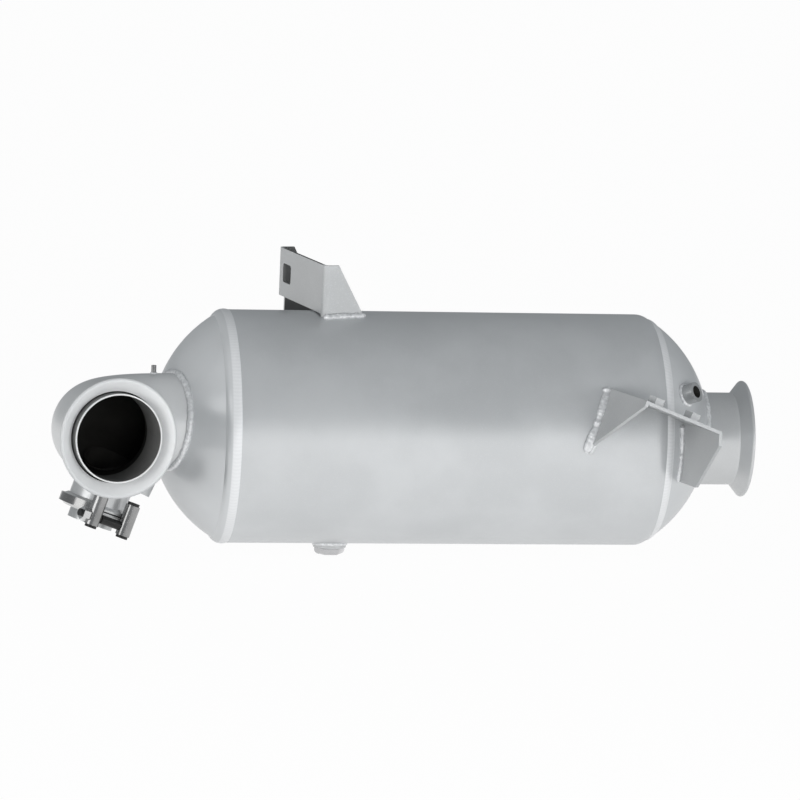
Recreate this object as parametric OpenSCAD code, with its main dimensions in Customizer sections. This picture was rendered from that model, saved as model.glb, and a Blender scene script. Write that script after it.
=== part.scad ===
// Diesel particulate filter: a welded steel canister that holds an oxidation catalyst and a
// wall-flow filter, with a side-facing inlet elbow, a straight outlet and two folded brackets.
// The origin is in the middle of the outlet pipe, where it ends and its flange begins.
// +X points out of the outlet, +Z is up, and the inlet port faces -Y.

/* [Canister] */
// Outside diameter of the shell
shell_od = 254; // [244:1:266]
// Sheet thickness of the shell
shell_wall = 2; // [1.5:0.1:3]
// Straight length of the shell
shell_len = 456; // [440:1:600]
// Radius of the shell's spun-in outlet end
knuckle_r = 20; // [10:1:30]
// Distance of the outlet seam from the shell's straight length
seam_in = 17; // [14:1:34]
// Outside dish radius of both end domes
dome_r = 143; // [138:1:165]
// Sheet thickness of the domes
dome_wall = 2; // [1.5:0.1:3]
// Width of the seam welds
seam_w = 9; // [6:0.5:14]
// Height of the seam welds over the shell
seam_h = 0.8; // [0.4:0.1:2]

/* [Pipes and flanges] */
// Outside diameter of the inlet and outlet pipes
pipe_od = 101.6; // [88.9:0.1:114.3]
// Wall of the inlet and outlet pipes
pipe_wall = 2; // [1.5:0.1:3]
// How far the pipes reach into the domes
pipe_insert = 6; // [3:0.5:12]
// Length of outlet pipe that shows between dome and flange
outlet_neck = 36; // [24:1:70]
// Drop of the outlet below the canister's axis
outlet_drop = 9; // [0:0.5:14]
// Outside diameter of the flared flanges
flange_od = 128; // [122:1:140]
// Length of the flared flanges
flange_len = 16; // [12:0.5:22]
// Thickness of the rolled flange rims
rim_t = 4.4; // [3:0.2:6]
// Height of the fillet welds round pipes and stubs
fillet_h = 3; // [1.5:0.5:5]

/* [Inlet elbow] */
// Turn of the inlet and of both brackets about the vertical, in degrees
skew = 10; // [0:1:14]
// Offset of the elbow's corner towards the front
inlet_offset = 57; // [46:1:60]
// Height of the elbow's axis over the canister's axis
inlet_rise = 11; // [4:1:14]
// Centre-line radius of the elbow
bend_r = 80; // [74:1:110]
// Straight leg between the bend and the dome
inlet_leg = 14; // [10:0.5:60]
// Straight neck between the bend and the inlet flange
inlet_neck = 46; // [40:1:90]
// Gap round the inlet liner
liner_gap = 1.5; // [1:0.1:4]
// Wall of the inlet liner
liner_wall = 1.5; // [1:0.1:3]
// Length of the inlet liner
liner_len = 50; // [40:1:60]
// Length of the ring that carries the liner
support_len = 8; // [5:0.5:12]

/* [Dosing stub] */
// Outside diameter of the stub
stub_od = 63.5; // [57:0.1:70]
// Wall of the stub
stub_wall = 2; // [1.5:0.1:3]
// Place of the stub along the elbow's leg, from its corner
stub_at = 50; // [46:1:54]
// Lean of the stub away from the canister, in degrees
stub_pitch = 20; // [14:1:24]
// Length of the stub from the elbow's axis to its joint face
stub_len = 98; // [92:1:110]
// Radial width of the joint flanges
joint_w = 4.5; // [4:0.25:9]
// Thickness of the joint flanges at the pipe
joint_t = 5; // [4:0.5:7]
// Thickness of the joint flanges at the rim
joint_edge = 2; // [1:0.5:3]
// Thickness of the joint gasket
gasket_t = 1.5; // [0.8:0.1:2.5]
// Diameter of the dish in the cover
cover_dish_d = 50; // [40:1:54]
// Depth of the dish in the cover
cover_dish_h = 12; // [6:0.5:20]
// Sheet thickness of the cover
cover_wall = 2; // [1.5:0.1:3]

/* [Band clamp] */
// Clearance between the retainers and the joint flanges
clamp_gap = 0.3; // [0.1:0.05:0.6]
// Sheet thickness of the V retainers
retainer_t = 2; // [1.2:0.1:2.5]
// Depth of the V retainers over the flange rims
retainer_grip = 3; // [2:0.25:3.5]
// Gap between the ends of the V retainers, in degrees
retainer_gap = 46; // [44:1:60]
// Thickness of the clamp band
band_t = 1.4; // [0.8:0.1:2]
// Width of the clamp band
band_w = 9; // [7:0.5:14]
// Half the opening between the band's ends
band_open = 12; // [10:0.5:16]
// Radius of the trunnions in the band's loops
trunnion_r = 6.5; // [6:0.25:8]
// Width of the band's loops
loop_w = 34; // [24:1:38]
// Length of the trunnions
trunnion_len = 40; // [38:1:48]
// Diameter of the T-bolt
bolt_d = 8; // [6:0.5:9]
// Length of the T-bolt that stands past the nut
bolt_tail = 3; // [2:1:12]
// Diameter of the bolt's barrel between the loops
barrel_d = 10; // [9.5:0.1:10.4]
// Drop of the bolt below the middle of the joint
bolt_drop = 8; // [7:0.5:10]
// Turn of the bolt round the stub
clamp_turn = 10; // [0:1:20]
// Size across the flats of the clamp nut
nut_af = 13; // [12:1:17]
// Height of the clamp nut
nut_h = 8; // [6:0.5:12]
// Clearance round the T-bolt
bolt_gap = 0.4; // [0.2:0.1:0.8]

/* [Top bracket] */
// Distance of the top bracket's front corner from the inlet seam
top_at = 102; // [80:1:200]
// Distance of the top bracket's front corner before the crest
top_front = 33; // [20:1:40]
// Length of the top bracket's web
top_len = 157; // [134:1:160]
// Height of the top bracket
top_h = 53; // [44:1:70]
// Rise of the top bracket to the rear, in degrees
top_rise = 2; // [0:0.2:4]
// Width of the top bracket's flanges at the shell
top_foot = 46; // [38:0.5:60]
// Width of the top bracket's flanges at the top
top_head = 17; // [12:0.5:30]
// Length of the slot in the web
top_slot_l = 28; // [18:1:40]
// Height of the slot in the web
top_slot_h = 21; // [14:0.5:26]
// Corner radius of the slot in the web
top_slot_r = 4; // [1:0.5:6]
// Distance of the slot's middle from the rear corner
top_slot_at = 30; // [26:1:60]
// Setback of the rear flange below the web
top_notch = 8; // [4:0.5:14]
// Reach of the legs below the web, down to the shell
top_leg = 100; // [90:1:110]
// Sheet thickness of both brackets
sheet_t = 3.5; // [2.5:0.25:4.5]
// Inside bend radius of both brackets
sheet_r = 3; // [2:0.5:5]

/* [Side bracket] */
// Distance of the side bracket from the shell's outlet end
side_at = 52; // [46:1:80]
// Angle of the side bracket's seat above the horizontal, in degrees
side_angle = 28; // [24:1:34]
// Reach of the side bracket's web from the shell
side_reach = 110; // [100:1:130]
// Width of the side bracket's web
side_w = 94; // [84:1:110]
// Slope of the side bracket's web towards the outlet, in degrees
side_pitch = 21.5; // [16:0.5:26]
// Height of the left gusset at the shell
gusset_h = 74; // [60:1:90]
// Height of the left gusset at its tip
gusset_tip = 6; // [3:0.5:12]
// Height of the right gusset at its tip
right_tip = 15; // [8:0.5:22]
// Height of the right gusset at its foot
right_h = 68; // [56:1:76]
// Length of the right gusset's sloping edge, along the web
right_run = 60; // [50:1:80]
// Distance of the weld nuts from the front edge
nut_in = 32; // [26:1:50]
// Distance between the weld nuts
nut_pitch = 45; // [36:1:54]
// Thread radius of the weld nuts
weld_nut_r = 4.25; // [3.4:0.05:5.5]
// Size across the flats of the weld nuts
weld_nut_af = 17; // [15:1:22]
// Height of the weld nuts
weld_nut_h = 8; // [6:0.5:12]
// Clearance of the web's holes round the bolts
weld_nut_gap = 1.25; // [0.5:0.25:2]

/* [Bosses] */
// Diameter of the outlet sensor boss
boss_d = 22; // [20:1:28]
// Height of the outlet sensor boss over the dome
boss_h = 14; // [8:0.5:20]
// Thread radius of the sensor bosses
boss_r = 6.5; // [5:0.25:8]
// Angle of the outlet sensor boss off the outlet's axis, in degrees
boss_off = 44; // [40:1:48]
// Angle of the outlet sensor boss above the horizontal, in degrees
boss_up = 29; // [24:1:36]
// Diameter of the elbow's sensor boss
elbow_boss_d = 26; // [22:1:28]
// Place of the elbow's sensor boss along the leg, from the corner
elbow_boss_at = 102; // [100:1:104]
// Lean of the elbow's sensor boss, in degrees
elbow_boss_pitch = 25; // [23:1:27]
// Length of the elbow's sensor boss from the elbow's axis
elbow_boss_len = 86; // [80:1:90]
// Length of the plug in the elbow's sensor boss
elbow_plug_len = 14; // [10:1:18]
// Diameter of the pressure tap
tap_d = 5.5; // [4:0.5:8]
// Height of the pressure tap
tap_h = 9; // [6:0.5:20]
// Bore radius of the pressure tap
tap_r = 1.5; // [1:0.1:1.8]
// Place of the pressure tap along the leg, from the corner
tap_at = 80; // [70:1:88]
// Distance of the lower boss from the inlet seam
low_at = 122; // [80:1:300]
// Diameter of the lower boss
low_d = 36; // [30:1:44]
// Height of the lower boss below the shell
low_h = 5; // [3:0.5:10]
// Thread radius of the lower boss
low_r = 10; // [8:0.5:12]
// Size across the flats of the lower plug
low_af = 29; // [24:1:32]
// Height of the lower plug's head
low_head = 8; // [5:0.5:12]

/* [Catalyst and filter] */
// Thickness of the fibre mats round the bricks
mat_t = 4.35; // [3:0.05:6]
// Gap between the inlet seam and the catalyst
inlet_gap = 42; // [30:1:50]
// Length of the oxidation catalyst
catalyst_len = 101.6; // [76.2:0.1:110]
// Gap between the catalyst and the filter
brick_gap = 30; // [16:1:36]
// Clearance from the filter to the shell's spun end
outlet_gap = 28.4; // [24:0.1:90]
// Thickness of the retaining rings
ring_t = 3; // [2:0.5:5]
// Width of the retaining rings over the bricks' edges
ring_grip = 7; // [4:0.5:12]
// Side of the square segments that the filter is built from
segment = 36; // [30:1:44]
// Width of the cement joints between the segments
joint_gap = 1.5; // [1:0.25:3]
// Depth of the cement joints below the filter's faces
joint_depth = 2; // [1:0.5:4]

/* [Hidden] */
$fn = 96;
over = 1;
far = 400;
shell_r = shell_od / 2;
shell_ir = shell_r - shell_wall;
pipe_r = pipe_od / 2;
pipe_ir = pipe_r - pipe_wall;
rim_r = flange_od / 2;
// Distance from a seam back to the centre of its dome
dome_c = sqrt(dome_r * dome_r - shell_r * shell_r);
dome_ir = dome_r - dome_wall;
// Height of a dome over its seam at a distance from the axis
function dome_at(r) = sqrt(dome_r * dome_r - r * r) - dome_c;
// Small lift of the spun bend, so that it runs cleanly into the dome
knuckle_lift = 0.03;
// Distance from the spun end back to the centre of the outlet dome
dish_c = sqrt(pow(dome_r - knuckle_r, 2) - pow(shell_r - knuckle_r, 2));
outlet_centre = -outlet_neck - sqrt(dome_r * dome_r - pipe_r * pipe_r);
outlet_end = outlet_centre + dish_c;
inlet_seam = outlet_end - shell_len;
inlet_centre = inlet_seam + dome_c;
axis_z = outlet_drop;
// Radius of a circle whose segment has a given width and height
function segment_r(w, h) = (w * w / 4 + h * h) / (2 * h);
inlet_x = inlet_seam - dome_at(pipe_r) - (bend_r + inlet_leg) * cos(skew);
port_reach = bend_r + inlet_neck + flange_len;
liner_r = pipe_ir - liner_gap;
liner_ir = liner_r - liner_wall;
stub_r = stub_od / 2;
stub_ir = stub_r - stub_wall;
// Depth of the bend's centre line at a distance from the elbow's corner
function bend_y(x) = x < bend_r ? sqrt(bend_r * bend_r - pow(bend_r - x, 2)) - bend_r : 0;
joint_r = stub_r + joint_w;
joint_mid = -gasket_t / 2;
joint_slope = (joint_t - joint_edge) / joint_w;
// Half height of the retainer's groove at a distance from the stub's axis
function groove(r) = joint_edge + gasket_t / 2 + clamp_gap + joint_slope * (joint_r - r);
groove_r = joint_r + clamp_gap;
retainer_r = groove_r + retainer_t;
band_r = retainer_r + band_t;
loop_r = trunnion_r + band_t;
loop_x = band_open + loop_r;
loop_y = -sqrt(pow(retainer_r + loop_r, 2) - loop_x * loop_x);
brick_r = shell_ir - mat_t;
catalyst_x = inlet_seam + inlet_gap;
filter_x = catalyst_x + catalyst_len + brick_gap;
filter_len = outlet_end - outlet_gap - filter_x;
top_x = inlet_seam + top_at;
side_x = outlet_end - side_at + side_reach * sin(skew);
side_y = -shell_r * cos(side_angle) - side_reach * cos(skew);
side_z = shell_r * sin(side_angle);
nut_first = (side_w - nut_pitch) / 2;
// Depth of the side bracket's sheets before the canister is cut away
sheet_depth = side_reach + shell_r / 2;

// Frames that carry the pieces which are turned against the canister
module along_x(x) {
    translate([x, 0, axis_z])
        rotate([0, 90, 0])
            children();
}

module outlet_frame(x) {
    translate([x, 0, 0])
        rotate([0, 90, 0])
            children();
}

module elbow_frame() {
    translate([inlet_x, -inlet_offset, axis_z + inlet_rise])
        rotate([0, 0, skew])
            children();
}

module port_frame() {
    elbow_frame()
        rotate([90, 0, 0])
            children();
}

module stub_frame() {
    elbow_frame()
        translate([stub_at, bend_y(stub_at), 0])
            rotate([0, stub_pitch, 0])
                children();
}

module clamp_frame() {
    stub_frame()
        translate([0, 0, -stub_len])
            rotate([0, 0, clamp_turn])
                children();
}

module elbow_boss_frame() {
    elbow_frame()
        translate([elbow_boss_at, 0, 0])
            rotate([0, elbow_boss_pitch, 0])
                children();
}

module top_frame() {
    translate([top_x, -top_front, axis_z + shell_r])
        rotate([0, 0, skew])
            rotate([top_rise, 0, 0])
                children();
}

module side_frame() {
    translate([side_x, side_y, axis_z + side_z])
        rotate([0, 0, skew])
            children();
}

module web_frame() {
    side_frame()
        rotate([0, side_pitch, 0])
            children();
}

module boss_frame() {
    translate([outlet_centre, 0, axis_z])
        rotate([90 - boss_up, 0, 0])
            rotate([0, boss_off, 0])
                children();
}

// Shapes that several pieces share
module tube(r, ir, h) {
    difference() {
        cylinder(r = r, h = h);
        translate([0, 0, -over])
            cylinder(r = ir, h = h + 2 * over);
    }
}

module shell_solid() {
    along_x(inlet_seam)
        cylinder(r = shell_r, h = shell_len);
}

module dome_ball(x, r) {
    translate([x, 0, axis_z])
        sphere(r = r);
}

// Dished end with its seam weld, drawn upwards from the seam
module dome() {
    weld_r = segment_r(seam_w, seam_h);
    rotate_extrude()
        difference() {
            union() {
                difference() {
                    translate([0, -dome_c])
                        circle(r = dome_r);
                    translate([-far, -2 * far])
                        square(2 * far);
                }
                difference() {
                    translate([shell_r + seam_h - weld_r, 0])
                        circle(r = weld_r);
                    translate([shell_r - far, -far])
                        square(far);
                }
            }
            translate([0, -dome_c])
                circle(r = dome_ir);
            translate([-far, -far])
                square([far, 2 * far]);
        }
}

// Rounded window cut through a sheet
module rounded_slot(length, height, round_r) {
    square([length - 2 * round_r, height], center = true);
    square([length, height - 2 * round_r], center = true);
    for (x = [-1, 1], y = [-1, 1])
        translate([x * (length / 2 - round_r), y * (height / 2 - round_r)])
            circle(r = round_r);
}

// Half section of the shell's spun end and the outlet dome, inside a wall of a given thickness
module end_region(wall) {
    intersection() {
        translate([0, -dish_c])
            circle(r = dome_r - wall);
        polygon([[0, -dish_c], [5 * (shell_r - knuckle_r), 4 * dish_c], [0, far]]);
    }
    translate([shell_r - knuckle_r, knuckle_lift])
        circle(r = knuckle_r - wall);
    translate([0, -shell_len - over])
        square([shell_r - wall, shell_len + over + knuckle_lift]);
}

// Outlet seam weld on the dome
module outlet_weld() {
    weld_r = segment_r(seam_w, seam_h);
    place = dome_r + seam_h - weld_r;
    lean = acos((dish_c + seam_in) / dome_r);
    difference() {
        translate([place * sin(lean), place * cos(lean) - dish_c])
            circle(r = weld_r);
        end_region(0);
    }
}

module flange() {
    round_r = rim_t / 2;
    rim = [rim_r - round_r, flange_len - round_r];
    lean = round_r * sin(45);
    rotate_extrude() {
        polygon([
            [pipe_ir, 0],
            [pipe_r, 0],
            [pipe_r, pipe_wall],
            [rim[0] + lean, rim[1] - lean],
            [rim[0] - lean, rim[1] + lean],
            [pipe_ir, 2 * pipe_wall]
        ]);
        translate(rim)
            circle(r = round_r);
    }
}

module elbow_solid(r, extra) {
    translate([bend_r, 0, 0])
        rotate([0, 90, 0])
            cylinder(r = r, h = inlet_leg + pipe_r + extra);
    translate([bend_r, -bend_r, 0])
        rotate([0, 0, 90])
            rotate_extrude(angle = 90)
                translate([bend_r, 0])
                    circle(r = r);
    translate([0, -bend_r, 0])
        rotate([90, 0, 0])
            cylinder(r = r, h = inlet_neck + extra);
}

module joint_flange() {
    rotate_extrude()
        polygon([
            [stub_ir, 0],
            [joint_r, 0],
            [joint_r, joint_edge],
            [stub_r, joint_t],
            [stub_ir, joint_t]
        ]);
}

// Folded channel in plan: a web along Y and two legs along X
module channel_plan(length, leg) {
    outer_r = sheet_r + sheet_t;
    difference() {
        union() {
            translate([0, outer_r])
                square([leg, length - 2 * outer_r]);
            translate([outer_r, 0])
                square([leg - outer_r, length]);
            translate([outer_r, outer_r])
                circle(r = outer_r);
            translate([outer_r, length - outer_r])
                circle(r = outer_r);
        }
        translate([sheet_t, outer_r])
            square([leg, length - 2 * outer_r]);
        translate([outer_r, sheet_t])
            square([leg, length - 2 * sheet_t]);
        translate([outer_r, outer_r])
            circle(r = sheet_r);
        translate([outer_r, length - outer_r])
            circle(r = sheet_r);
    }
}

module band_loop() {
    tube(loop_r, trunnion_r, loop_w);
}

module hex(af, h) {
    cylinder(d = af / cos(30), h = h, $fn = 6);
}

// Canister
module canister_shell() {
    color("silver")
        difference() {
            along_x(outlet_end)
                rotate_extrude()
                    intersection() {
                        difference() {
                            end_region(0);
                            end_region(shell_wall);
                        }
                        translate([0, -shell_len])
                            square([far, shell_len + seam_in]);
                    }
            translate([inlet_seam + low_at, 0, axis_z - shell_r])
                cylinder(r = low_r, h = 4 * shell_wall, center = true);
        }
}

module inlet_dome() {
    color("silver")
        difference() {
            union() {
                translate([inlet_seam, 0, axis_z])
                    rotate([0, -90, 0])
                        dome();
                intersection() {
                    difference() {
                        dome_ball(inlet_centre, dome_r + fillet_h);
                        dome_ball(inlet_centre, dome_r - dome_wall / 2);
                    }
                    elbow_frame()
                        translate([bend_r, 0, 0])
                            rotate([0, 90, 0])
                                cylinder(r = pipe_r + fillet_h, h = inlet_leg + pipe_r);
                }
            }
            elbow_frame()
                translate([bend_r, 0, 0])
                    rotate([0, 90, 0])
                        cylinder(r = pipe_r, h = far / 2);
        }
}

module outlet_dome() {
    color("silver")
        difference() {
            union() {
                along_x(outlet_end)
                    rotate_extrude() {
                        intersection() {
                            difference() {
                                end_region(0);
                                end_region(dome_wall);
                            }
                            translate([0, seam_in])
                                square(far);
                        }
                        outlet_weld();
                    }
                intersection() {
                    difference() {
                        dome_ball(outlet_centre, dome_r + fillet_h);
                        dome_ball(outlet_centre, dome_r - dome_wall / 2);
                    }
                    outlet_frame(outlet_end)
                        cylinder(r = pipe_r + fillet_h, h = -outlet_end);
                }
            }
            outlet_frame(outlet_end)
                cylinder(r = pipe_r, h = far / 2);
            boss_frame()
                cylinder(r = boss_r, h = far);
        }
}

// Inlet side
module inlet_elbow() {
    color("silver")
        difference() {
            elbow_frame()
                difference() {
                    elbow_solid(pipe_r, 0);
                    elbow_solid(pipe_ir, over);
                }
            dome_ball(inlet_centre, dome_ir - pipe_insert);
            stub_frame()
                translate([0, 0, -stub_len])
                    cylinder(r = stub_r, h = stub_len - stub_r / 2);
            elbow_boss_frame()
                translate([0, 0, -elbow_boss_len])
                    cylinder(r = boss_r, h = elbow_boss_len);
            elbow_frame()
                translate([tap_at, bend_y(tap_at), 0])
                    cylinder(r = tap_r, h = pipe_od);
        }
}

module inlet_flange() {
    color("gainsboro")
        port_frame()
            translate([0, 0, bend_r + inlet_neck])
                flange();
}

module inlet_liner() {
    color("lightgray")
        port_frame()
            translate([0, 0, port_reach - liner_len])
                tube(liner_r, liner_ir, liner_len);
}

module liner_support_ring() {
    color("gray")
        port_frame()
            translate([0, 0, port_reach - liner_len])
                tube(pipe_ir, liner_r, support_len);
}

module dosing_stub() {
    color("silver")
        difference() {
            stub_frame() {
                translate([0, 0, -stub_len])
                    tube(stub_r, stub_ir, stub_len - stub_r / 2);
                translate([0, 0, -stub_len])
                    joint_flange();
            }
            elbow_frame()
                elbow_solid(pipe_ir - pipe_wall, 0);
        }
}

module stub_gasket() {
    color("dimgray")
        clamp_frame()
            translate([0, 0, -gasket_t])
                tube(joint_r, stub_ir, gasket_t);
}

module stub_cover() {
    dish_r = cover_dish_d / 2;
    dish_ir = dish_r - cover_wall;
    color("gray")
        clamp_frame()
            translate([0, 0, -gasket_t])
                mirror([0, 0, 1])
                    rotate_extrude()
                        polygon([
                            [dish_ir, 0],
                            [joint_r, 0],
                            [joint_r, joint_edge],
                            [stub_r, joint_t],
                            [dish_r, joint_t],
                            [dish_r, joint_t + cover_dish_h],
                            [0, joint_t + cover_dish_h],
                            [0, joint_t + cover_dish_h - cover_wall],
                            [dish_ir, joint_t + cover_dish_h - cover_wall]
                        ]);
}

// Band clamp
module clamp_retainers() {
    tip = joint_r - retainer_grip;
    color("darkgray")
        clamp_frame()
            translate([0, 0, joint_mid])
                for (turn = [0, 180])
                    rotate([0, 0, turn - 90 + retainer_gap / 2])
                        rotate_extrude(angle = 180 - retainer_gap)
                            polygon([
                                [groove_r, groove(groove_r)],
                                [groove_r, -groove(groove_r)],
                                [tip, -groove(tip)],
                                [tip, -groove(tip) - retainer_t],
                                [retainer_r, -groove(retainer_r) - retainer_t],
                                [retainer_r, groove(retainer_r) + retainer_t],
                                [tip, groove(tip) + retainer_t],
                                [tip, groove(tip)]
                            ]);
}

module clamp_band() {
    color("lightgray")
        clamp_frame()
            translate([0, 0, joint_mid])
                difference() {
                    union() {
                        translate([0, 0, -band_w / 2])
                            tube(band_r, retainer_r, band_w);
                        for (side = [-1, 1])
                            translate([side * loop_x, loop_y, -loop_w / 2])
                                band_loop();
                    }
                    translate([-band_open, -far / 2, -loop_w])
                        cube([2 * band_open, far / 2, 2 * loop_w]);
                    for (side = [-1, 1])
                        translate([side * loop_x, loop_y, -loop_w])
                            cylinder(r = trunnion_r, h = 2 * loop_w);
                    translate([0, 0, -loop_w])
                        cylinder(r = retainer_r, h = 2 * loop_w);
                    translate([0, loop_y, -bolt_drop])
                        rotate([0, 90, 0])
                            cylinder(d = bolt_d + 2 * bolt_gap, h = 2 * far, center = true);
                }
}

module clamp_trunnion() {
    color("gainsboro")
        clamp_frame()
            translate([-loop_x, loop_y, joint_mid])
                difference() {
                    cylinder(r = trunnion_r, h = trunnion_len, center = true);
                    translate([0, 0, -bolt_drop])
                        rotate([0, 90, 0])
                            cylinder(d = bolt_d + 2 * bolt_gap, h = 4 * trunnion_r, center = true);
                }
}

module clamp_t_bolt() {
    color("dimgray")
        clamp_frame()
            translate([loop_x, loop_y, joint_mid]) {
                cylinder(r = trunnion_r, h = trunnion_len, center = true);
                translate([0, 0, -bolt_drop])
                    rotate([0, -90, 0]) {
                        cylinder(d = bolt_d, h = 2 * loop_x + loop_r + nut_h + bolt_tail);
                        translate([0, 0, loop_r + bolt_gap])
                            cylinder(d = barrel_d, h = 2 * band_open - 2 * bolt_gap);
                    }
            }
}

module clamp_nut() {
    color("gainsboro")
        clamp_frame()
            translate([-loop_x - loop_r, loop_y, joint_mid - bolt_drop])
                rotate([0, -90, 0])
                    difference() {
                        hex(nut_af, nut_h);
                        translate([0, 0, -over])
                            cylinder(d = bolt_d, h = nut_h + 2 * over);
                    }
}

// Brackets
module top_bracket() {
    cut = top_len + 2 * over;
    color("lightgray")
        difference() {
            top_frame()
                difference() {
                    translate([0, 0, -top_leg])
                        linear_extrude(height = top_h + top_leg)
                            channel_plan(top_len, top_foot);
                    translate([0, cut - over, 0])
                        rotate([90, 0, 0])
                            linear_extrude(height = cut)
                                polygon([
                                    [top_head, top_h + over],
                                    [top_head, top_h],
                                    [top_head + sheet_t, top_h - 2 * sheet_t],
                                    [top_foot, 0],
                                    [top_foot + over, 0],
                                    [top_foot + over, top_h + over]
                                ]);
                    translate([-over, sheet_t + sheet_r, -top_leg - over])
                        cube([top_notch + over, top_len, top_leg + over]);
                    translate([-over, top_len - top_slot_at, top_h / 2])
                        rotate([90, 0, 90])
                            linear_extrude(height = 4 * sheet_t)
                                rounded_slot(top_slot_l, top_slot_h, top_slot_r);
                }
            shell_solid();
        }
}

// Takes the canister's outlet end away from a sheet that is welded to it
module fitted_to_canister() {
    join = atan2(shell_r - knuckle_r, dish_c);
    seam_turn = acos((dish_c + seam_in) / dome_r);
    knuckle_step = (90 - join) / 4;
    dome_step = join / 16;
    knuckle = [
        for (i = [0:3])
            let (turn = 90 - (i + 0.5) * knuckle_step, out = knuckle_r / cos(knuckle_step / 2))
                [shell_r - knuckle_r + out * sin(turn), out * cos(turn)]
    ];
    dish = [
        for (i = [0:15])
            let (
                turn = join - (i + 0.5) * dome_step,
                lift = abs(turn - seam_turn) < 1.5 * dome_step ? seam_h : 0,
                out = (dome_r + lift) / cos(dome_step / 2)
            )
                [out * sin(turn), out * cos(turn) - dish_c]
    ];
    difference() {
        children();
        along_x(outlet_end)
            rotate_extrude()
                polygon(concat(
                    [[0, -far], [shell_r, -far]],
                    knuckle,
                    dish,
                    [[0, dome_r / cos(dome_step / 2) - dish_c]]
                ));
    }
}

module side_web() {
    difference() {
        web_frame()
            translate([0, 0, -sheet_t])
                cube([side_w, sheet_depth, sheet_t]);
        for (i = [0, 1])
            web_frame()
                translate([nut_first + i * nut_pitch, nut_in, -2 * sheet_t])
                    cylinder(r = weld_nut_r + weld_nut_gap, h = 4 * sheet_t);
    }
}

module left_gusset() {
    web_frame()
        rotate([90, 0, 90])
            linear_extrude(height = sheet_t)
                polygon([
                    [0, 0],
                    [0, -gusset_tip],
                    [side_reach, -gusset_h],
                    [sheet_depth, -gusset_h],
                    [sheet_depth, 0]
                ]);
}

module right_gusset() {
    lap = sheet_t / 7;
    side_frame()
        translate([
            side_w * cos(side_pitch) - sheet_t + lap,
            0,
            -side_w * sin(side_pitch) - lap
        ])
            rotate([90, 0, 90])
                linear_extrude(height = sheet_t)
                    polygon([
                        [0, 0],
                        [0, -right_tip],
                        [right_run, -right_h],
                        [sheet_depth, -right_h],
                        [sheet_depth, 0]
                    ]);
}

module side_bracket() {
    color("lightgray") {
        fitted_to_canister()
            side_web();
        fitted_to_canister()
            left_gusset();
        fitted_to_canister()
            right_gusset();
    }
}

module bracket_weld_nuts() {
    color("silver")
        for (i = [0, 1])
            web_frame()
                translate([nut_first + i * nut_pitch, nut_in, 0])
                    difference() {
                        hex(weld_nut_af, weld_nut_h);
                        translate([0, 0, -over])
                            cylinder(r = weld_nut_r, h = weld_nut_h + 2 * over);
                    }
}

// Bosses
module outlet_sensor_boss() {
    color("silver")
        difference() {
            boss_frame()
                cylinder(d = boss_d, h = dome_r + boss_h);
            dome_ball(outlet_centre, dome_r);
            boss_frame()
                cylinder(r = boss_r, h = far);
        }
}

module elbow_sensor_boss() {
    color("silver")
        difference() {
            elbow_boss_frame()
                translate([0, 0, -elbow_boss_len])
                    difference() {
                        cylinder(d = elbow_boss_d, h = elbow_boss_len - pipe_ir / 2);
                        translate([0, 0, -over])
                            cylinder(r = boss_r, h = elbow_boss_len);
                    }
            elbow_frame()
                elbow_solid(pipe_r, 0);
            stub_frame()
                translate([0, 0, -stub_len])
                    cylinder(r = stub_r, h = stub_len);
            dome_ball(inlet_centre, dome_r + fillet_h);
        }
}

module elbow_sensor_plug() {
    color("dimgray")
        elbow_boss_frame()
            translate([0, 0, -elbow_boss_len])
                difference() {
                    cylinder(r = boss_r, h = elbow_plug_len);
                    translate([0, 0, -over])
                        hex(boss_r, elbow_plug_len / 2 + over);
                }
}

module pressure_tap() {
    color("silver")
        difference() {
            elbow_frame()
                translate([tap_at, bend_y(tap_at), 0])
                    difference() {
                        cylinder(d = tap_d, h = pipe_r + tap_h);
                        cylinder(r = tap_r, h = pipe_od);
                    }
            elbow_frame()
                elbow_solid(pipe_r, 0);
        }
}

module lower_boss() {
    color("silver")
        difference() {
            translate([inlet_seam + low_at, 0, axis_z - shell_r - low_h])
                tube(low_d / 2, low_r, low_h + low_d / 4);
            shell_solid();
        }
}

module lower_plug() {
    color("gray")
        translate([inlet_seam + low_at, 0, axis_z - shell_r - low_h]) {
            mirror([0, 0, 1])
                hex(low_af, low_head);
            cylinder(r = low_r, h = low_h);
        }
}

// Outlet side
module outlet_pipe() {
    color("silver")
        outlet_frame(-outlet_neck - pipe_insert)
            tube(pipe_r, pipe_ir, outlet_neck + pipe_insert);
}

module outlet_flange() {
    color("gainsboro")
        outlet_frame(0)
            flange();
}

// Catalyst and filter
module oxidation_catalyst() {
    color("tan")
        along_x(catalyst_x)
            cylinder(r = brick_r, h = catalyst_len);
}

module catalyst_mat() {
    color("whitesmoke")
        along_x(catalyst_x)
            tube(shell_ir, brick_r, catalyst_len);
}

module particulate_filter() {
    lines = floor(brick_r / segment);
    color("dimgray")
        along_x(filter_x)
            difference() {
                cylinder(r = brick_r, h = filter_len);
                for (turn = [0, 90], i = [-lines : lines], z = [0, filter_len])
                    rotate([0, 0, turn])
                        translate([i * segment, 0, z])
                            cube([joint_gap, 3 * brick_r, 2 * joint_depth], center = true);
            }
}

module filter_mat() {
    color("whitesmoke")
        along_x(filter_x)
            tube(shell_ir, brick_r, filter_len);
}

module retaining_rings(x, length) {
    for (end = [x - ring_t, x + length])
        along_x(end)
            tube(shell_ir, brick_r - ring_grip, ring_t);
}

module catalyst_retaining_rings() {
    color("silver")
        retaining_rings(catalyst_x, catalyst_len);
}

module filter_retaining_rings() {
    color("silver")
        retaining_rings(filter_x, filter_len);
}

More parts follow.
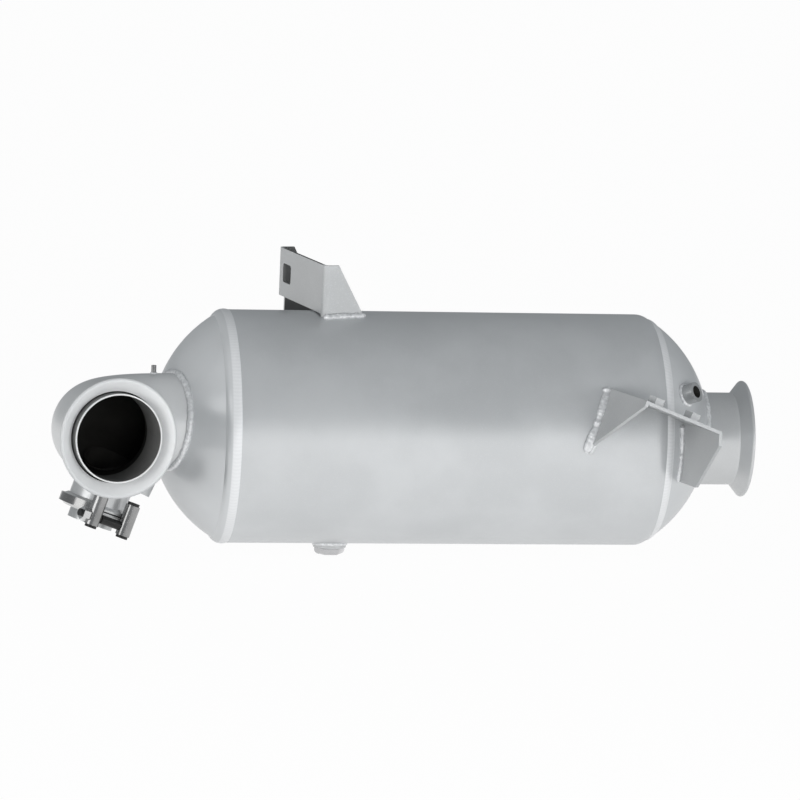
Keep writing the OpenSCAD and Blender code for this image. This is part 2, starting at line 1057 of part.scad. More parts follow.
canister_shell();
inlet_dome();
outlet_dome();
inlet_elbow();
inlet_flange();
inlet_liner();
liner_support_ring();
outlet_pipe();
outlet_flange();
dosing_stub();
stub_gasket();
stub_cover();
clamp_retainers();
clamp_band();
clamp_trunnion();
clamp_t_bolt();
clamp_nut();
elbow_sensor_boss();
elbow_sensor_plug();
pressure_tap();
top_bracket();
side_bracket();
bracket_weld_nuts();
outlet_sensor_boss();
lower_boss();
lower_plug();
oxidation_catalyst();
catalyst_mat();
catalyst_retaining_rings();
particulate_filter();
filter_mat();
filter_retaining_rings();
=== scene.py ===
import math

import bpy
from mathutils import Matrix, Vector


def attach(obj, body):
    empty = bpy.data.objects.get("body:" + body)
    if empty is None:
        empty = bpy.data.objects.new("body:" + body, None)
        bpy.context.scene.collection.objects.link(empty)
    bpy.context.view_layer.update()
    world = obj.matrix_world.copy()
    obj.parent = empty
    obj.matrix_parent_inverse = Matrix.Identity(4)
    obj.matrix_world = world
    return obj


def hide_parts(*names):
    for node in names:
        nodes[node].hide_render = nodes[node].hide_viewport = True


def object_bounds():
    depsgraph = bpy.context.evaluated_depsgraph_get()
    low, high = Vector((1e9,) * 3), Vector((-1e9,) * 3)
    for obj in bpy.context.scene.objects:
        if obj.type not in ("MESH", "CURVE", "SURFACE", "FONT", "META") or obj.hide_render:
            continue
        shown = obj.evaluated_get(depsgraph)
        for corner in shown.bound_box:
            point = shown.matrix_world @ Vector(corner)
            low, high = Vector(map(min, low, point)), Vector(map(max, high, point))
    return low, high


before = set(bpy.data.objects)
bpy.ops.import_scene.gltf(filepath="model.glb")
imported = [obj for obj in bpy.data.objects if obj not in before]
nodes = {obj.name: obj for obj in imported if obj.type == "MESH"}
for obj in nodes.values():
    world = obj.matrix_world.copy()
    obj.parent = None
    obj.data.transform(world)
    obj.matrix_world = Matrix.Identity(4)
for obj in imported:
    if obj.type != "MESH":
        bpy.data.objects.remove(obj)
solid_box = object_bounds()

# Canister shell: a rolled and seam-welded tube of stainless sheet, painted with a
# satin silver heat paint. The two domes are welded to its ends.


class Socket:
    """One output in a finish's node tree. Sums on it add Math nodes."""

    def __init__(self, tree, output=None):
        self.tree = tree
        self.output = output

    def add(self, kind, settings=None, values=None, output=0):
        node = self.tree.nodes.new(kind)
        for name, value in (settings or {}).items():
            setattr(node, name, value)
        for name, value in (values or {}).items():
            if isinstance(value, Socket):
                self.tree.links.new(value.output, node.inputs[name])
            else:
                node.inputs[name].default_value = value
        return Socket(self.tree, node.outputs[output] if node.outputs else None)

    def calc(self, operation, other=0.0):
        return self.add("ShaderNodeMath", {"operation": operation}, {0: self, 1: other})

    def __add__(self, other):
        return self.calc("ADD", other)

    __radd__ = __add__

    def __sub__(self, other):
        return self.calc("SUBTRACT", other)

    def __rsub__(self, other):
        return self.add("ShaderNodeMath", {"operation": "SUBTRACT"}, {0: other, 1: self})

    def __mul__(self, other):
        return self.calc("MULTIPLY", other)

    __rmul__ = __mul__

    def __pow__(self, other):
        return self.calc("POWER", other)

    def __lt__(self, other):
        return self.calc("LESS_THAN", other)

    def __gt__(self, other):
        return self.calc("GREATER_THAN", other)

    def hypot(self, other):
        return (self * self + other * other) ** 0.5

    def span(self, low, high):
        settings = {"interpolation_type": "SMOOTHSTEP"}
        return self.add("ShaderNodeMapRange", settings, {0: self, 1: low, 2: high})

    def blend(self, first, second):
        settings = {"data_type": "RGBA"}
        return self.add("ShaderNodeMix", settings, {0: self, 6: first, 7: second}, 2)

    def axes(self):
        split = self.add("ShaderNodeSeparateXYZ", None, {0: self})
        outputs = split.output.node.outputs
        return [Socket(self.tree, output) for output in outputs]

    def local(self, origin, turn):
        settings = {"vector_type": "TEXTURE"}
        values = {"Vector": self, "Location": origin, "Rotation": turn.to_euler("XYZ")}
        return self.add("ShaderNodeMapping", settings, values).axes()

    def noise(self, scale, detail=3.0):
        values = {"Vector": self, "Scale": scale, "Detail": detail}
        return self.add("ShaderNodeTexNoise", None, values)

    def cloud(self, scale):
        return self.noise(scale, 4.0).span(0.35, 0.7)


def start_finish(name):
    material = bpy.data.materials.new(name)
    material.use_nodes = True
    material.node_tree.nodes.clear()
    tree = Socket(material.node_tree)
    return material, tree.add("ShaderNodeTexCoord", output="Object")


def end_finish(place, values, height, strength, depth):
    bump = {"Height": height, "Strength": strength, "Distance": depth}
    values["Normal"] = place.add("ShaderNodeBump", None, bump)
    shader = place.add("ShaderNodeBsdfPrincipled", None, values)
    place.add("ShaderNodeOutputMaterial", None, {"Surface": shader})


def dress(piece, material):
    piece.data.materials.clear()
    piece.data.materials.append(material)


paint_rough = 0.29
cloud_rough = 0.08
# Darker tones, roughness and metal for the insides of shells, pipes and bores: painted shade.
inside_shade_rough = 0.35
inside_shade_metal = 0.05
inside_shade_tones = ((0.012, 0.012, 0.011, 1.0), (0.035, 0.034, 0.032, 1.0))
paint_speck = (0.72, 0.73, 0.74, 1.0)


def silver_paint(name, pale, dark, inside=None, inside_tones=inside_shade_tones, shine=0.62):
    material, place = start_finish(name)
    cloud = place.cloud(9.0)
    speck = place.noise(900.0, 2.0)
    grain = place.noise(2600.0, 2.0)
    tone = cloud.blend(dark, pale)
    tone = (speck.span(0.52, 0.75) * 0.25).blend(tone, paint_speck)
    rough = paint_rough + cloud_rough * cloud + 0.05 * speck
    metal = shine
    if inside is not None:
        # Darkens the masked inside with the inside tones: painted shade.
        inside_shade = inside(place)
        tone = inside_shade.blend(tone, place.noise(40.0).blend(*inside_tones))
        rough = rough + inside_shade_rough * inside_shade
        metal = shine - (shine - inside_shade_metal) * inside_shade
    values = {"Base Color": tone, "Roughness": rough, "Metallic": metal}
    end_finish(place, values, 0.6 * grain + 0.4 * speck, strength=0.12, depth=0.0002)
    return material


axis_z = 0.009
shell_r = 0.127
shell_bore = shell_r - 0.0008
outlet_end = -0.10901
dome_r = 0.143
spun_bore = dome_r - 0.0035
outlet_centre = Vector((-0.16967, 0.0, axis_z))


# Marks the inside of the shell and of the spun outlet end, which the paint darkens: painted shade.
def canister_inside(place):
    x, y, z = place.axes()
    radius = y.hypot(z - axis_z)
    spun = (x - outlet_centre.x).hypot(radius) < spun_bore
    return (radius < shell_bore) * (x < outlet_end).calc("MAXIMUM", spun)


dress(nodes["canister_shell"], silver_paint(
    "canister_paint", (0.65, 0.665, 0.675, 1.0), (0.58, 0.595, 0.605, 1.0), canister_inside))

# Domes: pressed dished ends in the same sheet and paint as the shell, with a hole for
# the pipe. A machine-laid weld bead with fine ripples joins each one to the shell.
inlet_seam = -0.56501
outlet_seam = -0.09201
inlet_centre = Vector((-0.49928, 0.0, axis_z))
skin = 0.001
dome_bore = shell_r - 0.0005
seam_half = 0.005
seam_fade = 0.0008


def dome_paint(name, centre, seam_x, pale, dark, shine):
    material, place = start_finish(name)
    x, y, z = place.axes()
    z = z - axis_z
    radius = y.hypot(z)
    depth = (x - centre.x).hypot(radius)
    # Marks the dome's inside, which is painted darker: painted shade.
    inside_shade = (depth < dome_r - skin) * (radius < dome_bore)
    offset = x - seam_x
    seam = 1.0 - offset.calc("ABSOLUTE").span(seam_half - seam_fade, seam_half + seam_fade)
    turn = z.calc("ARCTAN2", y)
    bow = offset * offset * 9000.0
    wave = (turn * 190.0 + bow * 6.0 + place.noise(70.0) * 3.0).calc("SINE")
    crest = 0.5 + 0.5 * wave
    cloud = place.cloud(9.0)
    grain = place.noise(2600.0, 2.0)
    tone = cloud.blend(dark, pale)
    bead = crest.blend((0.79, 0.80, 0.81, 1.0), (0.83, 0.84, 0.85, 1.0))
    tone = (0.95 * seam).blend(tone, bead)
    tone = inside_shade.blend(tone, place.noise(40.0).blend(*inside_shade_tones))
    rough = paint_rough + cloud_rough * cloud + inside_shade_rough * inside_shade
    metal = shine - (shine - inside_shade_metal) * inside_shade
    values = {"Base Color": tone, "Roughness": rough, "Metallic": metal}
    end_finish(place, values, 0.8 * seam * crest + 0.2 * grain, strength=0.07, depth=0.0005)
    return material


# The inlet dome's tones are lighter than the shell paint that the outlet dome shares: painted
# light.
dress(nodes["inlet_dome"], dome_paint(
    "inlet_dome_paint", inlet_centre, inlet_seam,
    (0.68, 0.695, 0.705, 1.0), (0.61, 0.625, 0.635, 1.0), shine=0.35))
dress(nodes["outlet_dome"], dome_paint(
    "outlet_dome_paint", outlet_centre, outlet_seam,
    (0.65, 0.665, 0.675, 1.0), (0.58, 0.595, 0.605, 1.0), shine=0.42))

# Weld beads: hand-laid fillets of bright filler wire, uneven in width, that join the pipes,
# bosses and brackets to the canister. They are left as they were laid.


def weld_finish(name, pale, dark):
    material, place = start_finish(name)
    cloud = place.noise(260.0)
    grain = place.noise(2400.0, 2.0)
    tone = cloud.span(0.35, 0.7).blend(dark, pale)
    values = {"Base Color": tone, "Roughness": 0.3 + 0.2 * cloud, "Metallic": 0.55}
    end_finish(place, values, 0.7 * cloud + 0.3 * grain, strength=0.2, depth=0.0004)
    return material


bead_metal = weld_finish("weld_bead", (0.86, 0.87, 0.88, 1.0), (0.66, 0.67, 0.68, 1.0))
tip_width = 0.45
tip_taper = 0.14


def weld_bead(name, path, bead_r, closed, ripple):
    bpy.ops.object.select_all(action="DESELECT")
    bpy.ops.curve.primitive_nurbs_path_add()
    bead = bpy.context.object
    bead.name = name
    curve = bead.data
    curve.splines.clear()
    spline = curve.splines.new("POLY")
    spline.points.add(len(path) - 1)
    spline.use_cyclic_u = closed
    for i, (point, spot) in enumerate(zip(spline.points, path)):
        point.co = (*spot, 1.0)
        # A short ripple and two long swells that never quite repeat
        wave = math.cos(i * 1.21 + 1.4 * math.sin(i * 0.37))
        swell = math.sin(i * 0.29 + 1.7 * math.sin(i * 0.13)) + 0.7 * math.sin(i * 0.083 + 1.0)
        point.radius = 1.0 + ripple * (0.14 * wave + 0.5 * swell)
        if not closed:
            from_tip = min(i, len(path) - 1 - i)
            point.radius *= min(1.0, tip_width + tip_taper * from_tip)
    curve.dimensions = "3D"
    curve.bevel_depth = bead_r
    curve.bevel_resolution = 2
    curve.use_fill_caps = True
    bpy.ops.object.convert(target="MESH")
    bpy.ops.object.transform_apply(location=True, rotation=True, scale=True)
    bpy.ops.object.shade_smooth()
    dress(bead, bead_metal)
    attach(bead, "root")


# Inlet elbow: a mandrel-bent pipe that turns the gas from the front into the inlet dome.
# It is let into the dome and fillet-welded, painted outside, and painted darker inside and at the
# stub hole: painted shade.
elbow_corner = Vector((-0.72553, -0.057, 0.02))
skew = Matrix.Rotation(math.radians(10), 3, "Z")
pipe_r = 0.0508
bend_r = 0.08
stub_tilt = skew @ Matrix.Rotation(math.radians(20), 3, "Y")
stub_r = 0.03175
stub_x = 0.05
stub_y = math.sqrt(bend_r ** 2 - (bend_r - stub_x) ** 2) - bend_r
cope_slack = 0.0004


def from_elbow(x, y, z):
    return elbow_corner + skew @ Vector((x, y, z))


def elbow_depth(spot):
    x, y, z = skew.transposed() @ (spot - elbow_corner)
    across = math.hypot(min(x - bend_r, 0.0), max(y + bend_r, 0.0)) - bend_r
    return math.hypot(across, z) - pipe_r


stub_root = from_elbow(stub_x, stub_y, 0.0)


def from_bend(place):
    x, y, z = place.local(elbow_corner, skew)
    left = (x - bend_r).calc("MINIMUM", 0.0)
    front = (y + bend_r).calc("MAXIMUM", 0.0)
    return (left.hypot(front) - bend_r).hypot(z)


# The bore and the stub hole are darkened: painted shade.
def elbow_inside(place):
    bore = from_bend(place) < pipe_r - skin
    x, y, z = place.local(stub_root, stub_tilt)
    hole = (x.hypot(y) < stub_r + cope_slack) * (z < 0.0)
    return bore.calc("MAXIMUM", hole)


dress(nodes["inlet_elbow"], silver_paint(
    "elbow_paint", (0.66, 0.67, 0.675, 1.0), (0.60, 0.61, 0.615, 1.0), elbow_inside, shine=0.35))


def seat(start, way, depth, reach, lift):
    low, high = 0.0, reach
    for _ in range(40):
        middle = (low + high) / 2
        if depth(start + way * middle) > lift:
            low = middle
        else:
            high = middle
    return start + way * high


ring_lift = 0.4
even_ripple = 0.12


def ring_weld(name, start, way, radius, depth, reach, bead_r, steps, ripple=0.2):
    side = way.orthogonal().normalized()
    other = way.cross(side)
    path = []
    for i in range(steps):
        turn = math.tau * i / steps
        foot = start + (side * math.cos(turn) + other * math.sin(turn)) * radius
        path.append(seat(foot, way, depth, reach, ring_lift * bead_r))
    weld_bead(name, path, bead_r, True, ripple)


def inlet_dome_depth(spot):
    return (spot - inlet_centre).length - dome_r


ring_weld("elbow_dome_weld", from_elbow(0.04, 0.0, 0.0), skew @ Vector((1.0, 0.0, 0.0)),
          pipe_r + 0.0008, inlet_dome_depth, reach=0.15, bead_r=0.0036, steps=420,
          ripple=even_ripple)

# Inlet flange: a spun flare welded to the elbow's neck, turned bright on its cone. A
# clamp band of the exhaust pipe would draw against it.
rim_r = 0.064
# A darker tone on the flare's outer rim: painted shade.
rim_shade_tone = (0.52, 0.53, 0.535, 1.0)


def bare_steel(name, pale, dark, rough, metal, rim=None):
    material, place = start_finish(name)
    cloud = place.cloud(22.0)
    grain = place.noise(1800.0, 2.0)
    tone = cloud.blend(dark, pale)
    # An optional mask darkens a rim: painted shade.
    if rim is not None:
        tone = rim(place).blend(tone, rim_shade_tone)
    values = {"Base Color": tone, "Roughness": rough + cloud_rough * cloud + 0.05 * grain,
              "Metallic": metal}
    end_finish(place, values, grain, strength=0.08, depth=0.0002)
    return material


def flange_rim_shade(place):
    x, y, z = place.local(elbow_corner, skew)
    return x.hypot(z).span(rim_r - 0.0045, rim_r - 0.001)


dress(nodes["inlet_flange"], bare_steel(
    "flange_metal", (0.76, 0.77, 0.775, 1.0), (0.70, 0.71, 0.715, 1.0), rough=0.42, metal=0.05,
    rim=flange_rim_shade))

# Inlet liner: a thin inner sleeve that keeps the gas off the flange, carried by a welded
# ring. Its lip is bright from handling and its bore is painted dark grey: painted shade.
port_face = from_elbow(0.0, -0.142, 0.0)
lip_start, lip_end = 0.0012, 0.0022


def liner_finish(name):
    material, place = start_finish(name)
    x, depth, z = place.local(port_face, skew)
    # Past the lip the bore is painted dark grey: painted shade.
    inside_shade = depth.span(lip_start, lip_end)
    bore_shade_tone = place.noise(60.0).blend((0.13, 0.13, 0.13, 1.0), (0.20, 0.20, 0.196, 1.0))
    tone = inside_shade.blend((0.82, 0.83, 0.83, 1.0), bore_shade_tone)
    values = {"Base Color": tone, "Roughness": 0.3 + 0.3 * inside_shade, "Metallic": 0.75 - 0.55 * inside_shade}
    end_finish(place, values, place.noise(900.0), strength=0.15, depth=0.0002)
    return material


dress(nodes["inlet_liner"], liner_finish("liner_steel"))
# The support ring is painted near-black for the shade in the gap behind the liner: painted shade.
dress(nodes["liner_support_ring"], bare_steel(
    "shadow_gap_ring", (0.05, 0.05, 0.05, 1.0), (0.025, 0.025, 0.025, 1.0), rough=0.55, metal=0.2))

# Service stub: a short tube let into the underside of the elbow at a slant, with a pressed
# joint flange at its foot. A dished cover and a graphite gasket close it.
stub_way = stub_tilt @ Vector((0.0, 0.0, 1.0))
stub_foot = 0.09
cover_bore = 0.0235
cover_floor = -0.1105


# The stub's bore and its coped end are darkened: painted shade.
def stub_inside(place):
    x, y, z = place.local(stub_root, stub_tilt)
    bore = x.hypot(y) < stub_r - skin
    return bore.calc("MAXIMUM", from_bend(place) < pipe_r + cope_slack)


# The cover's inside is darkened: painted shade.
def cover_inside(place):
    x, y, z = place.local(stub_root, stub_tilt)
    return (x.hypot(y) < cover_bore) * (z > cover_floor)


dress(nodes["dosing_stub"], silver_paint(
    "stub_paint", (0.64, 0.65, 0.655, 1.0), (0.56, 0.57, 0.575, 1.0), stub_inside))
ring_weld("stub_weld", stub_root - stub_way * stub_foot, stub_way, stub_r + 0.0012, elbow_depth,
          reach=stub_foot, bead_r=0.0024, steps=260, ripple=even_ripple)
dress(nodes["stub_gasket"], bare_steel(
    "graphite", (0.02, 0.02, 0.02, 1.0), (0.012, 0.012, 0.012, 1.0), rough=0.6, metal=0.0))
dress(nodes["stub_cover"], silver_paint(
    "cover_paint", (0.58, 0.59, 0.595, 1.0), (0.50, 0.51, 0.515, 1.0), cover_inside))

# Band clamp: two pressed V retainers in a stainless band with looped ends. A T-bolt with a
# blackened shank and a bright nut pulls the loops together.
clamp_metal = bare_steel("clamp_metal", (0.74, 0.74, 0.74, 1.0), (0.60, 0.60, 0.60, 1.0),
                         rough=0.2, metal=0.95)
for name in ("clamp_retainers", "clamp_nut"):
    dress(nodes[name], clamp_metal)
dress(nodes["clamp_band"], bare_steel(
    "band_metal", (0.40, 0.40, 0.40, 1.0), (0.26, 0.26, 0.26, 1.0), rough=0.16, metal=0.9))
black_steel = bare_steel("black_steel", (0.035, 0.035, 0.035, 1.0), (0.018, 0.018, 0.018, 1.0),
                         rough=0.34, metal=0.5)
for name in ("clamp_trunnion", "clamp_t_bolt"):
    dress(nodes[name], black_steel)

# Bosses: turned weld-on fittings for sensors, painted with the canister. A steel plug closes
# the one under the elbow.
boss_paint = silver_paint("boss_paint", (0.60, 0.61, 0.615, 1.0), (0.52, 0.53, 0.535, 1.0))
for name in ("elbow_sensor_boss", "lower_boss"):
    dress(nodes[name], boss_paint)
dress(nodes["elbow_sensor_plug"], bare_steel(
    "plug_metal", (0.55, 0.55, 0.55, 1.0), (0.40, 0.40, 0.40, 1.0), rough=0.3, metal=0.8))
boss_tilt = Matrix.Rotation(math.radians(61), 3, "X") @ Matrix.Rotation(math.radians(44), 3, "Y")
boss_way = boss_tilt @ Vector((0.0, 0.0, 1.0))
boss_r = 0.011
boss_bore = 0.0068
lower_r = 0.018
lower_x = -0.44301


def outlet_dome_depth(spot):
    return (spot - outlet_centre).length - dome_r


def shell_depth(spot):
    return math.hypot(spot.y, spot.z - axis_z) - shell_r


# The boss's bore is darkened: painted shade.
def boss_inside(place):
    x, y, z = place.local(outlet_centre, boss_tilt)
    return x.hypot(y) < boss_bore


# The outlet boss's tones are darker than the canister paint: painted shade.
dress(nodes["outlet_sensor_boss"], silver_paint(
    "outlet_boss_paint", (0.44, 0.45, 0.455, 1.0), (0.34, 0.35, 0.355, 1.0), boss_inside))
ring_weld("outlet_boss_weld", outlet_centre + boss_way * 0.165, -boss_way, boss_r,
          outlet_dome_depth, reach=0.05, bead_r=0.002, steps=110)
ring_weld("lower_boss_weld", Vector((lower_x, 0.0, -0.131)), Vector((0.0, 0.0, 1.0)), lower_r,
          shell_depth, reach=0.03, bead_r=0.0022, steps=150)

# Lower plug: a bright zinc-plated hexagon plug, forged with a rounded underside and a chamfer
# under its washer face. It closes the boss below the shell.
plug_af = 0.029
plug_head = 0.008
plug_seat = -0.123
plug_round, plug_chamfer = 0.0048, 0.0008
shank_inset, shank_length = 0.0055, 0.005


def pick_faces(piece, facing):
    bpy.ops.object.mode_set(mode="EDIT")
    bpy.ops.mesh.select_mode(type="FACE")
    bpy.ops.mesh.select_all(action="DESELECT")
    bpy.ops.object.mode_set(mode="OBJECT")
    for face in piece.data.polygons:
        face.select = face.normal.z * facing > 0.9
    bpy.ops.object.mode_set(mode="EDIT")


bpy.ops.object.select_all(action="DESELECT")
bpy.ops.mesh.primitive_cylinder_add(
    vertices=6, radius=plug_af / math.sqrt(3.0), depth=plug_head,
    location=(lower_x, 0.0, plug_seat - plug_head / 2), rotation=(0.0, 0.0, math.radians(30)))
plug = bpy.context.object
plug.name = "lower_plug_head"
dress(plug, bare_steel(
    "zinc_plate", (0.74, 0.74, 0.75, 1.0), (0.50, 0.50, 0.51, 1.0), rough=0.18, metal=0.9))
for facing, width, steps in ((-1.0, plug_round, 5), (1.0, plug_chamfer, 1)):
    pick_faces(plug, facing)
    bpy.ops.mesh.bevel(offset=width, segments=steps, affect="EDGES")
pick_faces(plug, 1.0)
bpy.ops.mesh.inset(thickness=shank_inset)
bpy.ops.mesh.extrude_region_move(TRANSFORM_OT_translate={"value": (0.0, 0.0, shank_length)})
bpy.ops.object.mode_set(mode="OBJECT")
bpy.ops.object.transform_apply(location=True, rotation=True, scale=True)
bpy.ops.object.shade_smooth_by_angle(angle=math.radians(35))
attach(plug, "root")
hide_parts("lower_plug")

# Pressure tap: a small turned spigot of bare steel for a pressure hose. It is let into the
# top of the elbow and held by a ring of weld.
tap_r = 0.00275
ring_weld("tap_weld", from_elbow(0.08, 0.0, 0.065), Vector((0.0, 0.0, -1.0)), tap_r,
          elbow_depth, reach=0.03, bead_r=0.0011, steps=40)
dress(nodes["pressure_tap"], bare_steel(
    "tap_metal", (0.42, 0.42, 0.42, 1.0), (0.26, 0.26, 0.26, 1.0), rough=0.3, metal=0.8))

# Outlet pipe and flange: a short straight steel tube let into the outlet dome and welded, with
# the same spun flare as the inlet. Both are painted with the canister.


# The pipe's bore is darkened: painted shade.
def outlet_inside(place):
    x, y, z = place.axes()
    return y.hypot(z) < pipe_r - skin


dress(nodes["outlet_pipe"], silver_paint(
    "outlet_pipe_paint", (0.60, 0.61, 0.615, 1.0), (0.54, 0.55, 0.555, 1.0), outlet_inside))
dress(nodes["outlet_flange"], silver_paint(
    "outlet_flange_paint", (0.62, 0.63, 0.635, 1.0), (0.56, 0.57, 0.575, 1.0)))
ring_weld("outlet_dome_weld", Vector((0.0, 0.0, 0.0)), Vector((-1.0, 0.0, 0.0)), pipe_r + 0.0008,
          outlet_dome_depth, reach=0.06, bead_r=0.003, steps=420, ripple=even_ripple)

# Top bracket: a folded channel of thick sheet with a slot in its web. Its two legs stand on
# the shell and are fillet-welded along their feet by hand. Its inside is painted darker: painted
# shade.
top_corner = Vector((-0.46301, -0.033, 0.136))
top_turn = skew @ Matrix.Rotation(math.radians(2), 3, "X")
channel_shade_tones = ((0.08, 0.082, 0.081, 1.0), (0.14, 0.142, 0.141, 1.0))
foot_lift = 0.3
hand_ripple = 0.26


# Marks the channel's inner faces and edges, which are painted darker: painted shade.
def channel_inside(place):
    x, y, z = place.local(top_corner, top_turn)
    faces = (x > 0.0032) * (y > 0.003) * (y < 0.154)
    edges = (x > 0.0004) * (y > 0.012) * (y < 0.145)
    return faces.calc("MAXIMUM", edges)


dress(nodes["top_bracket"], silver_paint(
    "top_bracket_paint", (0.50, 0.51, 0.515, 1.0), (0.43, 0.44, 0.445, 1.0), channel_inside,
    channel_shade_tones, shine=0.1))


def foot_weld(name, first, last, way, depth, reach, steps, bead_r):
    path = []
    for i in range(steps + 1):
        start = first + (last - first) * (i / steps)
        path.append(seat(start, way, depth, reach, foot_lift * bead_r))
    weld_bead(name, path, bead_r, False, hand_ripple)


for name, y, first, last, bead_r in (
        ("top_front_weld", -0.0008, 0.001, 0.0485, 0.0036),
        ("top_front_inner_weld", 0.0045, 0.008, 0.046, 0.0026),
        ("top_rear_weld", 0.1578, 0.010, 0.026, 0.003),
        ("top_rear_inner_weld", 0.1525, 0.010, 0.044, 0.0026)):
    foot_weld(name, top_corner + top_turn @ Vector((first, y, 0.02)),
              top_corner + top_turn @ Vector((last, y, 0.02)),
              Vector((0.0, 0.0, -1.0)), shell_depth, reach=0.12, steps=60, bead_r=bead_r)

# Side bracket: a sloping web of thick sheet with a gusset at each end, welded to the shell
# and to the outlet dome. Two weld nuts on the web take the chassis bolts from below.
side_paint = silver_paint("side_bracket_paint", (0.49, 0.50, 0.505, 1.0), (0.43, 0.44, 0.445, 1.0),
                          shine=0.1)
for name in ("side_bracket", "bracket_weld_nuts"):
    dress(nodes[name], side_paint)
side_corner = Vector((-0.14191, -0.22046, 0.06862))
side_pitch = math.radians(21.5)
side_w = 0.094
web_turn = skew @ Matrix.Rotation(side_pitch, 3, "Y")
right_x = side_w * math.cos(side_pitch)
right_z = -side_w * math.sin(side_pitch)
knuckle_r = 0.02
knuckle_ring = shell_r - knuckle_r
dish_c = outlet_end - outlet_centre.x


def canister_depth(spot):
    radius = math.hypot(spot.y, spot.z - axis_z)
    along = spot.x - outlet_end
    if along < 0.0:
        return radius - shell_r
    if radius * dish_c < knuckle_ring * (along + dish_c):
        return outlet_dome_depth(spot)
    return math.hypot(radius - knuckle_ring, along) - knuckle_r


for name, turn, x, top, foot, bead_r in (
        ("left_gusset_weld", web_turn, -0.001, 0.0, -0.074, 0.0050),
        ("left_gusset_inner_weld", web_turn, 0.0045, -0.006, -0.074, 0.0026),
        ("right_gusset_weld", skew, right_x + 0.0008, right_z, right_z - 0.068, 0.003),
        ("right_gusset_inner_weld", skew, right_x - 0.0045, right_z - 0.006, right_z - 0.068,
         0.003)):
    foot_weld(name, side_corner + turn @ Vector((x, 0.03, top)),
              side_corner + turn @ Vector((x, 0.03, foot)),
              turn @ Vector((0.0, 1.0, 0.0)), canister_depth, reach=0.2, steps=90, bead_r=bead_r)

# Bricks: an oxidation catalyst of fine ceramic honeycomb and a filter of cemented carbide
# segments, each wrapped in a fibre mat and held by two steel rings inside the shell.


def honeycomb(name, wall, cell, pitch):
    material, place = start_finish(name)
    chequer = place.add("ShaderNodeTexChecker", None,
                        {"Vector": place, "Color1": wall, "Color2": cell, "Scale": 1.0 / pitch})
    stain = place.noise(30.0).span(0.3, 0.75)
    tone = (0.4 * stain).blend(chequer, (0.02, 0.02, 0.02, 1.0))
    values = {"Base Color": tone, "Roughness": 0.8, "Metallic": 0.0}
    end_finish(place, values, place.noise(700.0), strength=0.3, depth=0.0004)
    return material


dress(nodes["oxidation_catalyst"], honeycomb(
    "catalyst_honeycomb", (0.42, 0.36, 0.28, 1.0), (0.05, 0.045, 0.04, 1.0), pitch=0.0013))
dress(nodes["particulate_filter"], honeycomb(
    "filter_honeycomb", (0.20, 0.20, 0.20, 1.0), (0.04, 0.04, 0.04, 1.0), pitch=0.0018))
mat_material, mat_place = start_finish("fibre_mat")
mat_tone = mat_place.noise(500.0, 5.0).blend((0.62, 0.60, 0.55, 1.0), (0.86, 0.84, 0.79, 1.0))
end_finish(mat_place, {"Base Color": mat_tone, "Roughness": 0.95},
           mat_place.noise(900.0), strength=0.5, depth=0.001)
for name in ("catalyst_mat", "filter_mat"):
    dress(nodes[name], mat_material)
ring_metal = bare_steel("ring_metal", (0.30, 0.29, 0.28, 1.0), (0.18, 0.17, 0.16, 1.0),
                        rough=0.45, metal=0.7)
for name in ("catalyst_retaining_rings", "filter_retaining_rings"):
    dress(nodes[name], ring_metal)

# Stage: a plain white floor just under the part, a low front lamp, two soft boxes and a fill
# at the inlet end, and the camera at the photograph's angle with its long lens.
bpy.ops.object.select_all(action="DESELECT")
bpy.ops.mesh.primitive_plane_add(size=40.0, location=(0.0, 0.0, solid_box[0].z - 0.001))
floor = bpy.context.object
floor.name = "floor"
floor_material, floor_place = start_finish("floor_white")
rays = [floor_place.add("ShaderNodeLightPath", output=f"Is {kind} Ray")
        for kind in ("Camera", "Glossy", "Transmission")]
direct = rays[0].calc("MAXIMUM", rays[1].calc("MAXIMUM", rays[2]))
chalk = floor_place.add("ShaderNodeBsdfDiffuse", None, {"Color": (0.9, 0.9, 0.9, 1.0)})
white = floor_place.add("ShaderNodeEmission", None, {"Color": (1.0, 1.0, 1.0, 1.0)})
mixed = floor_place.add("ShaderNodeMixShader", None, {0: direct * 0.97, 1: chalk, 2: white})
floor_place.add("ShaderNodeOutputMaterial", None, {"Surface": mixed})
dress(floor, floor_material)

scene = bpy.context.scene
scene.view_settings.view_transform = "Standard"
world = bpy.data.worlds.new("studio")
scene.world = world
world.use_nodes = True
world.node_tree.nodes.clear()
sky = Socket(world.node_tree)
soft = sky.add("ShaderNodeBackground", None, {"Color": (0.93, 0.97, 1.0, 1.0), "Strength": 0.36})
sky.add("ShaderNodeOutputWorld", None, {"Surface": soft})


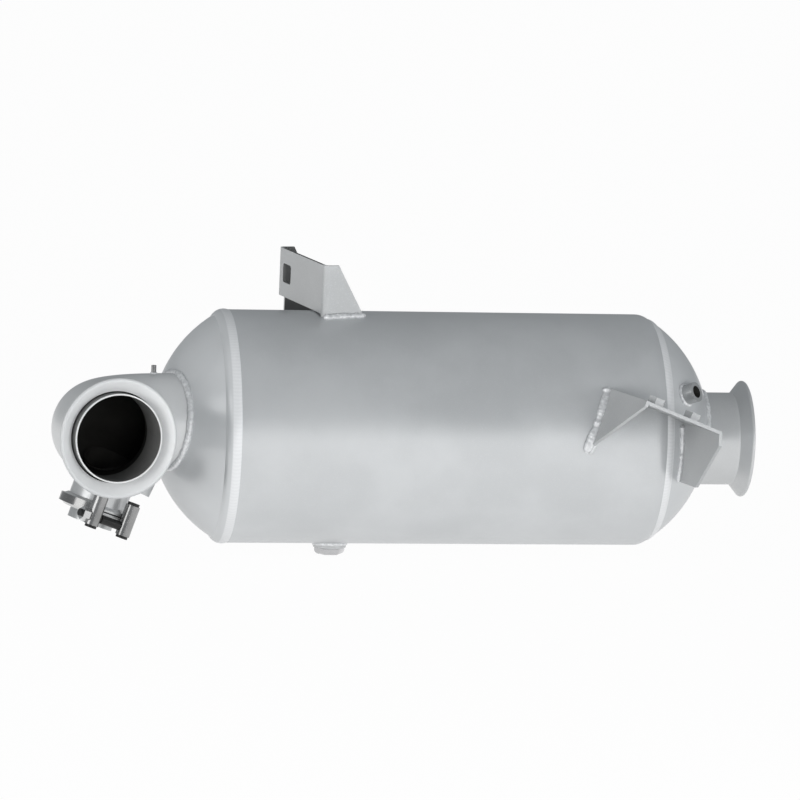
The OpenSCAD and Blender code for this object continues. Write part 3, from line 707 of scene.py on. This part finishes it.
def soft_box(name, spot, aim, width, height, watts, tint):
    bpy.ops.object.light_add(type="AREA", location=spot)
    lamp = bpy.context.object
    lamp.name = name
    lamp.data.shape = "RECTANGLE"
    lamp.data.size = width
    lamp.data.size_y = height
    lamp.data.energy = watts
    lamp.data.color = tint
    way = Vector(aim) - Vector(spot)
    lamp.rotation_euler = way.to_track_quat("-Z", "Y").to_euler()
    return lamp


warm, plain, cool = (1.0, 0.99, 0.98), (1.0, 1.0, 1.0), (0.98, 0.99, 1.0)
front = soft_box("front_light", (0.1, -2.4, 0.0), (-0.4, 0.0, -0.05),
                 width=2.2, height=0.5, watts=51.0, tint=plain)
front.visible_glossy = False
soft_box("key_light", (-2.1, -0.9, 0.3), (-0.6, 0.0, 0.0),
         width=1.0, height=0.6, watts=5.0, tint=warm)
fill = soft_box("fill_light", (-2.1, -1.1, 0.1), (-0.6, 0.0, 0.0),
                width=1.2, height=0.8, watts=9.0, tint=warm)
fill.visible_glossy = False
soft_box("side_light", (1.3, -1.5, 0.1), (-0.2, 0.0, 0.0),
         width=0.9, height=0.5, watts=3.5, tint=cool)

azimuth, elevation, roll = math.radians(9.8), math.radians(7.0), math.radians(1.77)
distance = 6.015
right = Vector((math.cos(azimuth), -math.sin(azimuth), 0.0))
back = Vector((-math.sin(azimuth) * math.cos(elevation),
               -math.cos(azimuth) * math.cos(elevation), math.sin(elevation)))
up = back.cross(right)
level = right * math.cos(roll) + up * math.sin(roll)
upright = up * math.cos(roll) - right * math.sin(roll)
aim = Vector((-0.3686, 0.0, axis_z)) + upright * 0.03008
eye = aim + back * distance
bpy.ops.object.camera_add(location=eye)
camera = bpy.context.object
camera.name = "camera"
camera.matrix_world = Matrix((
    (level.x, upright.x, back.x, eye.x),
    (level.y, upright.y, back.y, eye.y),
    (level.z, upright.z, back.z, eye.z),
    (0.0, 0.0, 0.0, 1.0)))
camera.data.lens = 247.5
camera.data.sensor_width = 36.0
camera.data.clip_end = 100.0
scene.camera = camera
